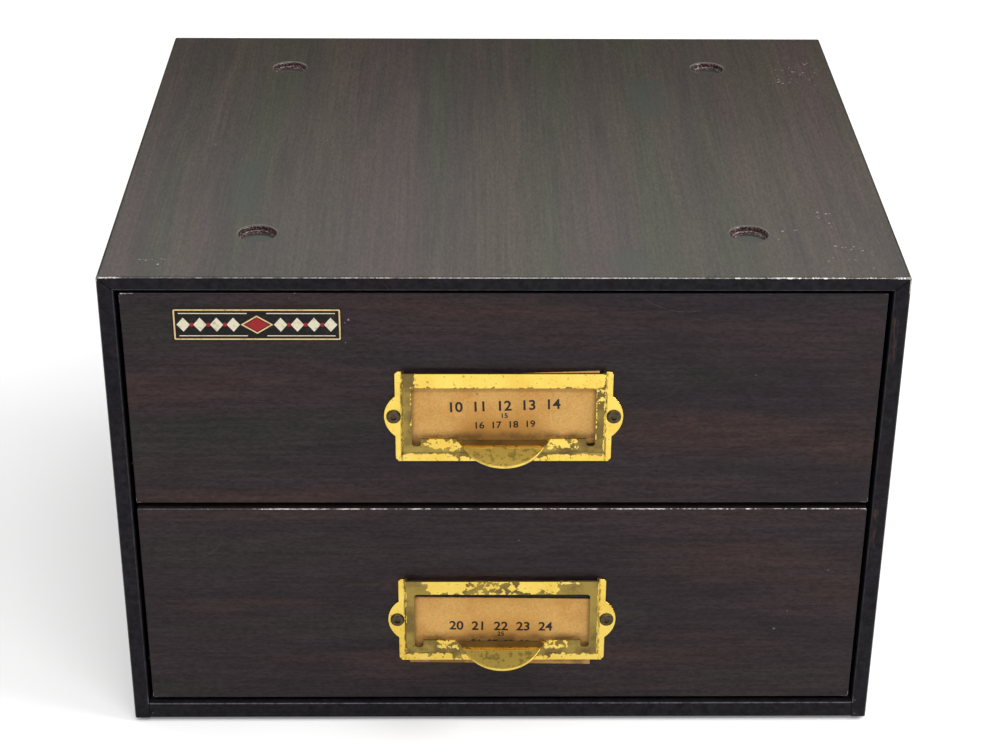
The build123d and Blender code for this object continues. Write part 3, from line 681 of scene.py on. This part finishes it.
def makeBrass(level, look, seed):
    material, tree, shader, place = newMaterial(f"{level} pull brass", {})
    local = vectorCalc(tree, "SUBTRACT", place, tuple(holderCentre(level)))
    y, z = axes(tree, local)[1:]
    patches = minus(tree, cloud(tree, place, look["patchScale"], 7.0, seed, 0.6), 0.5)
    ragged = times(tree, patches, look["ragged"] * 2.0)
    bright = fade(tree, plus(tree, zonesMask(tree, local, pullZones[level]), ragged), 0.49, 0.53)
    # painted highlight: a line of bright brass along the tongue's crease
    crease = calc(tree, "ABSOLUTE", plus(tree, y, look["crease"] * mm))
    crease = fade(tree, crease, look["creaseHighlightWidth"] * mm, 0.4 * look["creaseHighlightWidth"] * mm)
    crease = times(tree, crease, fade(tree, cloud(tree, place, 420.0, 3.0, seed), 0.40, 0.48))
    bright = calc(tree, "MAXIMUM", bright, crease)
    stains = fade(tree, cloud(tree, place, 420.0, 5.0, seed + 3.0, 0.6), 0.60, 0.72)
    mottled = fade(tree, cloud(tree, place, 110.0, 5.0, seed + 6.0, 0.6), 0.38, 0.62)
    olive = blend(tree, mottled, look["olive"], blend(tree, 0.3, look["olive"], look["bright"]))
    olive = cover(tree, olive, look["stain"], stains, 0.7)
    # the tongue: an amber band where it leaves the frame, a painted reflection of the card; pale olive with
    # darker blotches on its lip
    shelfReflection = times(tree, fade(tree, y, -2.3 * mm, -2.7 * mm),
                  fade(tree, y, (0.2 - look["crease"]) * mm, (0.7 - look["crease"]) * mm),
                  fade(tree, z, -10.2 * mm, -9.6 * mm))
    olive = blend(tree, shelfReflection, olive, blend(tree, mottled, look["rootReflection"], look["olive"]))
    lip = fade(tree, y, -look["crease"] * mm, (-0.4 - look["crease"]) * mm)
    blotches = fade(tree, cloud(tree, place, 430.0, 5.0, seed + 9.0, 0.65), 0.52, 0.59)
    olive = blend(tree, lip, olive, cover(tree, look["lip"], look["blotch"], blotches, 0.75))
    # painted highlight along the tongue's rounded rim
    outward = vectorCalc(tree, "SUBTRACT", local, metres(*look["rimHighlightCentre"]))
    spread = lengthOf(tree, scaled(tree, outward, (1, 1, 0)))
    rim = fade(tree, spread, (look["rimHighlightRadius"] - 0.2) * mm, (look["rimHighlightRadius"] + 0.1) * mm)
    bright = calc(tree, "MAXIMUM", bright, times(tree, rim, lip, 0.7))
    spots = useGroup(tree, specks, place, Cells=320.0, Share=0.2, Radius=0.16, Seed=seed)
    flakes = fade(tree, cloud(tree, place, 900.0, 4.0, seed + 5.0), 0.62, 0.68)
    spots = calc(tree, "MAXIMUM", spots, times(tree, flakes, 0.6))
    tone = fade(tree, cloud(tree, place, 70.0, 4.0, seed + 2.0, 0.6), 0.38, 0.66)
    golden = cover(tree, look["bright"], look["deep"], tone, 0.7)
    golden = cover(tree, golden, look["stain"], spots, 0.8)
    color = blend(tree, bright, olive, golden)
    # brown grime and painted shade in the folds
    groovesGrimeAndShade = anyOf(tree, [boxMask(tree, local, *groove, 0.25) for groove in look["groovesGrimeAndShade"]])
    groovesGrimeAndShade = times(tree, groovesGrimeAndShade, fade(tree, cloud(tree, place, 420.0, 4.0, seed), 0.40, 0.60))
    color = cover(tree, color, look["stain"], groovesGrimeAndShade, 0.65)
    rough = fade(tree, bright, 0.0, 1.0, look["oliveRoughness"], look["brightRoughness"])
    feed(tree, shader, {"Base Color": color, "Metallic": fade(tree, bright, 0.0, 1.0, 0.86, 1.0),
                        "Roughness": rough})
    bump(tree, shader, [(bright, 0.03 * mm), (cloud(tree, place, 120.0, 3.0, seed), 0.12 * mm),
                        (stains, 0.02 * mm)])
    return material


rivetLook = {"color": rgb(0.060, 0.046, 0.026), "grime": rgb(0.13, 0.10, 0.055), "roughness": 0.40}


def makeRivetMetal(look):
    material, tree, shader, place = newMaterial("rivet metal", {"Metallic": 0.85})
    grime = fade(tree, cloud(tree, place, 900.0, 4.0), 0.35, 0.65)
    color = blend(tree, grime, look["color"], look["grime"])
    rough = fade(tree, grime, 0.0, 1.0, look["roughness"], look["roughness"] + 0.2)
    feed(tree, shader, {"Base Color": color, "Roughness": rough})
    bump(tree, shader, [(grime, 0.03 * mm)])
    return material


rivetMetal = makeRivetMetal(rivetLook)
for seed, level in enumerate(levels):
    dress(f"{level}_pull", makeBrass(level, pullLook, 1.0 + 9.0 * seed))
    dress(f"{level}_pull_rivets", rivetMetal)
print("pulls finished")


cardLook = {
    "paper": rgb(0.74, 0.42, 0.125), "aged": rgb(0.60, 0.28, 0.062), "grime": rgb(0.16, 0.085, 0.03),
    "ink": rgb(0.012, 0.010, 0.012), "width": 65.0, "height": 28.6, "thickness": 0.3,
    "columns": 66, "rows": 30, "ragged": 0.12, "trim": 0.15, "inkLift": 0.015, "inkDepth": 0.02,
    "lowered": {"upper": 0.3, "lower": -0.25}, "tilt": {"upper": 2.0, "lower": -0.9},
    "bow": {"upper": 0.55, "lower": 0.4}, "bowCentre": 2.0,
    # from the holder's centre: a tanned patch, and the part that the frame's painted shadow leaves clear
    "tan": ((-7, -3, -8), (7, 3, -6), 13.0), "window": ((-29.6, -3, -6.4), (29.6, 3, 10.4), 1.6),
    # text, size, weight, and height of its foot above the card's centre, in mm
    "lines": {"upper": [("10  11  12  13  14", 5.3, 0.11, 0.4), ("15", 2.6, 0.05, -2.5),
                        ("16  17  18  19", 3.7, 0.06, -6.5)],
              "lower": [("20  21  22  23  24", 5.1, 0.11, 0.6), ("25", 2.6, 0.05, -1.9),
                        ("26  27  28  29", 3.7, 0.06, -6.3)]},
}


def makeCardPaper(level, look, seed):
    material, tree, shader, place = newMaterial(f"{level} card paper", {"Specular IOR Level": 0.25})
    fibres = cloud(tree, place, 1500.0, 4.0, seed, 0.7)
    blotches = fade(tree, cloud(tree, place, 75.0, 4.0, seed, 0.6), 0.38, 0.68)
    color = cover(tree, look["paper"], look["aged"], blotches, 0.7)
    color = shaded(tree, color, fibres, 0.3, 0.7, 0.84, 1.12)
    local = vectorCalc(tree, "SUBTRACT", place, tuple(holderCentre(level)))
    color = cover(tree, color, look["aged"], boxMask(tree, local, *look["tan"]), 0.65)
    # painted shadow of the frame round the card's edges, and stains low down
    rim = inverse(tree, boxMask(tree, local, *look["window"]))
    stainsAndFrameShadow = times(tree, fade(tree, axes(tree, local)[2], -4.5 * mm, -8.6 * mm),
                  fade(tree, cloud(tree, place, 210.0, 5.0, seed, 0.6), 0.36, 0.62))
    stainsAndFrameShadow = calc(tree, "MAXIMUM", stainsAndFrameShadow, times(tree, rim, 0.45))
    # the grime colour here also paints the frame's shadow
    color = cover(tree, color, look["grime"], stainsAndFrameShadow, 0.75)
    foxing = useGroup(tree, specks, place, Cells=210.0, Share=0.2, Radius=0.12, Seed=seed)
    color = cover(tree, color, look["grime"], foxing, 0.65)
    feed(tree, shader, {"Base Color": color, "Roughness": fade(tree, fibres, 0.3, 0.7, 0.62, 0.85)})
    bump(tree, shader, [(fibres, 0.02 * mm), (cloud(tree, place, 90.0, 2.0, seed), 0.15 * mm)])
    return material


def cardDepth(level, x, z):
    # how far the card bows towards the viewer, in mm, from places in mm about its centre
    halfWidth, halfHeight = cardLook["width"] / 2, cardLook["height"] / 2
    across = 1.0 - (x / halfWidth) ** 2
    upright = 0.5 + 0.5 * cos(pi * min(1.0, abs(z - cardLook["bowCentre"]) / halfHeight))
    return cardLook["bow"][level] * max(0.0, across) * upright


def turned(level, x, z):
    angle = radians(cardLook["tilt"][level])
    low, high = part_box(f"{level}_label_card")
    centre = (low + high) / 2
    z -= cardLook["lowered"][level]
    return (centre.x + (x * cos(angle) - z * sin(angle)) * mm,
            centre.z + (x * sin(angle) + z * cos(angle)) * mm)


def makeCard(level):
    look = cardLook
    columns, rows = look["columns"], look["rows"]
    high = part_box(f"{level}_label_card")[1]
    shape = bmesh.new()
    sheets = []
    for offset in (look["thickness"], 0.0):
        grid = []
        for row in range(rows + 1):
            line = []
            for column in range(columns + 1):
                x = look["width"] * (column / columns - 0.5)
                z = look["height"] * (row / rows - 0.5)
                uneven = look["ragged"] * noise.noise(Vector((x * 0.9, z * 0.9, len(level)))) - look["trim"]
                if column in (0, columns):
                    x += uneven if column else -uneven
                if row in (0, rows):
                    z += uneven if row else -uneven
                worldX, worldZ = turned(level, x, z)
                depth = offset + cardDepth(level, x, z)
                line.append(shape.verts.new((worldX, high.y - depth * mm, worldZ)))
            grid.append(line)
        sheets.append(grid)
    front, back = sheets
    for row in range(rows):
        for column in range(columns):
            a, b = (row, column), (row, column + 1)
            c, d = (row + 1, column + 1), (row + 1, column)
            shape.faces.new([front[i][j] for i, j in (a, b, c, d)])
            shape.faces.new([back[i][j] for i, j in (d, c, b, a)])
    rim = [(0, j) for j in range(columns)] + [(i, columns) for i in range(rows)]
    rim += [(rows, j) for j in range(columns, 0, -1)] + [(i, 0) for i in range(rows, 0, -1)]
    for here, there in zip(rim, rim[1:] + rim[:1]):
        shape.faces.new([back[here[0]][here[1]], back[there[0]][there[1]],
                         front[there[0]][there[1]], front[here[0]][here[1]]])
    return finishMesh(shape, f"{level}_card")


def finishMesh(shape, name, smooth=True):
    bmesh.ops.recalc_face_normals(shape, faces=shape.faces)
    mesh = bpy.data.meshes.new(name)
    shape.to_mesh(mesh)
    shape.free()
    for face in mesh.polygons:
        face.use_smooth = smooth
    piece = bpy.data.objects.new(name, mesh)
    bpy.context.scene.collection.objects.link(piece)
    return piece


def makeCardPrint(level, ink):
    # plain size numbers, laid on the bowed card
    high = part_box(f"{level}_label_card")[1]
    shape = bmesh.new()
    for text, size, weight, height in cardLook["lines"][level]:
        curve = bpy.data.curves.new("line", "FONT")
        curve.body, curve.size, curve.align_x, curve.offset = text, size, "CENTER", weight
        writer = bpy.data.objects.new("line", curve)
        flat = bpy.data.meshes.new_from_object(writer)
        shape.from_mesh(flat)
        fresh = [v for v in shape.verts if not v.tag]
        for v in fresh:
            x, z = v.co.x, v.co.y + height
            worldX, worldZ = turned(level, x, z)
            depth = cardLook["thickness"] + cardDepth(level, x, z) + cardLook["inkLift"]
            v.co = (worldX, high.y - depth * mm, worldZ)
            v.tag = True
        bpy.data.objects.remove(writer)
    made = bmesh.ops.extrude_face_region(shape, geom=list(shape.faces))
    for v in made["geom"]:
        if isinstance(v, bmesh.types.BMVert):
            v.co.y -= cardLook["inkDepth"] * mm
    piece = finishMesh(shape, f"{level}_card_numbers", smooth=False)
    piece.data.materials.append(ink)
    return piece


def makeInk(look):
    material, tree, shader, place = newMaterial("printing ink", {"Specular IOR Level": 0.35})
    thin = fade(tree, cloud(tree, place, 1400.0, 3.0), 0.55, 0.75)
    feed(tree, shader, {"Base Color": cover(tree, look["ink"], look["grime"], thin, 0.5),
                        "Roughness": fade(tree, thin, 0.0, 1.0, 0.5, 0.8)})
    return material


ink = makeInk(cardLook)
for seed, level in enumerate(levels):
    card = makeCard(level)
    card.data.materials.append(makeCardPaper(level, cardLook, 2.0 + seed))
    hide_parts(f"{level}_label_card")
    for piece in (card, makeCardPrint(level, ink)):
        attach(piece, f"{level}_card")
print("cards made")


transferLook = {
    "ground": rgb(0.005, 0.004, 0.004), "gold": rgb(0.80, 0.58, 0.27), "cream": rgb(0.80, 0.74, 0.55),
    "red": rgb(0.36, 0.016, 0.022), "film": 0.09, "ink": 0.02, "corner": 0.5,
    "borderInset": 0.45, "borderWidth": 0.5, "ruleHeight": 4.15, "ruleWidth": 0.32,
    "lozenge": (2.2, 2.6), "bead": 0.72, "pitch": 5.5, "copies": 4, "firstGap": 2.4,
    # half sizes of the medallion, and how far in its line and its heart begin
    "medallion": (5.4, 3.4), "medallionLine": (0.9, 0.55), "medallionHeart": (1.5, 0.95),
    "ruleStart": 3.2, "ruleGap": 1.2, "stain": rgb(0.05, 0.035, 0.025),
}


def transferPiece(name, outlines, depthFrom, depthTo, material):
    # closed plates from outlines in mm about the transfer's centre
    low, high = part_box("front_transfer")
    centre = (low + high) / 2
    shape = bmesh.new()
    for outline, hole in outlines:
        rings = [[[shape.verts.new((centre.x + x * mm, high.y - depth * mm, centre.z + z * mm))
                   for x, z in points] for points in (outline, hole) if points]
                 for depth in (depthFrom, depthTo)]
        count = len(outline)
        for i in range(count):
            j = (i + 1) % count
            shape.faces.new((rings[0][0][i], rings[0][0][j], rings[1][0][j], rings[1][0][i]))
            if hole:
                shape.faces.new((rings[0][1][i], rings[0][1][j], rings[1][1][j], rings[1][1][i]))
                for side in rings:
                    shape.faces.new((side[0][i], side[0][j], side[1][j], side[1][i]))
        if not hole:
            shape.faces.new(rings[0][0])
            shape.faces.new(rings[1][0])
    piece = finishMesh(shape, name, smooth=False)
    piece.data.materials.append(material)
    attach(piece, "upper_drawer")
    return piece


def roundedRectangle(halfWidth, halfHeight, radius, steps=6):
    points = []
    for sx, sz, start in ((1, 1, 0), (-1, 1, 90), (-1, -1, 180), (1, -1, 270)):
        for step in range(steps + 1):
            angle = radians(start + 90 * step / steps)
            points.append((sx * (halfWidth - radius) + radius * cos(angle),
                           sz * (halfHeight - radius) + radius * sin(angle)))
    return points


def roundOutline(x, z, radius, sides=20):
    angles = [2 * pi * i / sides for i in range(sides)]
    return [(x + radius * cos(angle), z + radius * sin(angle)) for angle in angles]


def lozengeOutline(x, z, halfWidth, halfHeight):
    return [(x + halfWidth, z), (x, z + halfHeight), (x - halfWidth, z), (x, z - halfHeight)]


def makeFilm(look, key, roughness, metal=0.0):
    material, tree, shader, place = newMaterial(
        f"transfer {key}", {"Metallic": metal, "Specular IOR Level": 0.2})
    aged = fade(tree, cloud(tree, place, 700.0, 4.0), 0.5, 0.75)
    feed(tree, shader, {"Base Color": cover(tree, look[key], look["stain"], aged, 0.45),
                        "Roughness": fade(tree, aged, 0.0, 1.0, roughness, roughness + 0.2)})
    bump(tree, shader, [(cloud(tree, place, 300.0, 2.0), 0.02 * mm)])
    return material


def makeTransfer(look):
    low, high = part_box("front_transfer")
    halfWidth, halfHeight = (high.x - low.x) / 2 / mm, (high.z - low.z) / 2 / mm
    film, top = look["film"], look["film"] + look["ink"]
    outline = roundedRectangle(halfWidth, halfHeight, look["corner"])
    ground = transferPiece("transfer_ground", [(outline, None)], 0.0, film, makeFilm(look, "ground", 0.3))
    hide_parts("front_transfer")
    inset, width = look["borderInset"], look["borderWidth"]
    outer = roundedRectangle(halfWidth - inset, halfHeight - inset, look["corner"])
    inner = roundedRectangle(halfWidth - inset - width, halfHeight - inset - width, look["corner"] / 2)
    wide, tall = look["medallion"]
    medallion, hole, heart = [lozengeOutline(0, 0, wide - across, tall - up) for across, up in (
        (0, 0), look["medallionLine"], look["medallionHeart"])]
    gold = makeFilm(look, "gold", 0.35, 0.25)
    transferPiece("transfer_border", [(outer, inner), (medallion, hole)], film, top, gold)
    cream, red = [], [(heart, None)]
    reach = halfWidth - inset - width - look["ruleGap"]
    for side in (-1, 1):
        for z in (-look["ruleHeight"], look["ruleHeight"]):
            half = look["ruleWidth"] / 2
            left, right = sorted((side * look["ruleStart"], side * reach))
            cream.append(([(left, z - half), (right, z - half), (right, z + half), (left, z + half)], None))
        for copy in range(look["copies"]):
            x = side * (wide + look["firstGap"] + copy * look["pitch"])
            cream.append((lozengeOutline(x, 0, *look["lozenge"]), None))
            if copy < look["copies"] - 1:
                red.append((roundOutline(x + side * look["pitch"] / 2, 0, look["bead"]), None))
    transferPiece("transfer_cream", cream, film, top, makeFilm(look, "cream", 0.4))
    transferPiece("transfer_red", red, film, top, makeFilm(look, "red", 0.4))


makeTransfer(transferLook)
print("transfer made")


stageLook = {
    "floor": 0.86, "seenFloor": 0.98, "floorLift": 0.17, "floorHalf": 6.0,
    "world": 0.80, "horizon": 0.02, "glowFrom": 0.335, "glowTo": 0.47,
    # place, what the lamp faces, its two sizes, and its power
    "key light": ((1.25, -0.25, 1.2), (0, 0, 0.05), (0.8, 0.8), 14.0),
    "strip light": ((0.15, -1.0, 1.35), (0, 0, 0.12), (1.3, 0.12), 9.0),
}


def makeFloor(look):
    shape = bmesh.new()
    half = look["floorHalf"]
    corners = ((-half, -half), (half, -half), (half, half), (-half, half))
    shape.faces.new([shape.verts.new((x, y, 0.0)) for x, y in corners])
    floor = finishMesh(shape, "floor", smooth=False)
    material = bpy.data.materials.new("pale floor")
    material.use_nodes = True
    tree = material.node_tree
    tree.nodes.clear()
    diffuse, paler = [put(tree, "BsdfDiffuse", {"Color": rgb(*[look[key]] * 3)}).outputs[0]
                      for key in ("floor", "seenFloor")]
    glow = put(tree, "Emission", {"Color": rgb(1, 1, 1), "Strength": look["floorLift"]}).outputs[0]
    lifted = put(tree, "AddShader", {0: paler, 1: glow}).outputs[0]
    seen = put(tree, "LightPath").outputs["Is Camera Ray"]
    result = put(tree, "MixShader", {0: seen, 1: diffuse, 2: lifted}).outputs[0]
    put(tree, "OutputMaterial", {"Surface": result})
    floor.data.materials.append(material)


def makeWorld(look):
    world = bpy.data.worlds.new("studio")
    bpy.context.scene.world = world
    world.use_nodes = True
    tree = world.node_tree
    tree.nodes.clear()
    direction = put(tree, "TexCoord").outputs["Generated"]
    glow = fade(tree, axes(tree, direction)[2], look["glowFrom"], look["glowTo"], look["horizon"], 1.0)
    seen = put(tree, "LightPath").outputs["Is Camera Ray"]
    level = calc(tree, "MAXIMUM", times(tree, glow, look["world"]), seen)
    result = put(tree, "Background", {"Color": rgb(1, 1, 1), "Strength": level}).outputs[0]
    put(tree, "OutputWorld", {"Surface": result})


def makeLamp(name, place, target, size, power):
    lamp = bpy.data.lights.new(name, "AREA")
    lamp.shape, lamp.size, lamp.size_y, lamp.energy = "RECTANGLE", size[0], size[1], power
    holder = bpy.data.objects.new(name, lamp)
    bpy.context.scene.collection.objects.link(holder)
    holder.location = place
    holder.rotation_euler = (Vector(target) - Vector(place)).to_track_quat("-Z", "Y").to_euler()


cameraLook = {"place": (-0.011013, -0.758139, 0.502124), "turn": (61.0036, -0.4265, -0.7372),
              "lens": 79.0, "sensor": 36.0}


def makeCamera(look):
    lens = bpy.data.cameras.new("camera")
    lens.lens, lens.sensor_width, lens.sensor_fit = look["lens"], look["sensor"], "HORIZONTAL"
    lens.clip_start = 0.01
    camera = bpy.data.objects.new("camera", lens)
    bpy.context.scene.collection.objects.link(camera)
    camera.location = look["place"]
    camera.rotation_euler = [radians(angle) for angle in look["turn"]]
    bpy.context.scene.camera = camera


makeFloor(stageLook)
makeWorld(stageLook)
for name in ("key light", "strip light"):
    makeLamp(name, *stageLook[name])
makeCamera(cameraLook)
bpy.context.scene.view_settings.view_transform = "Standard"
print("stage set")
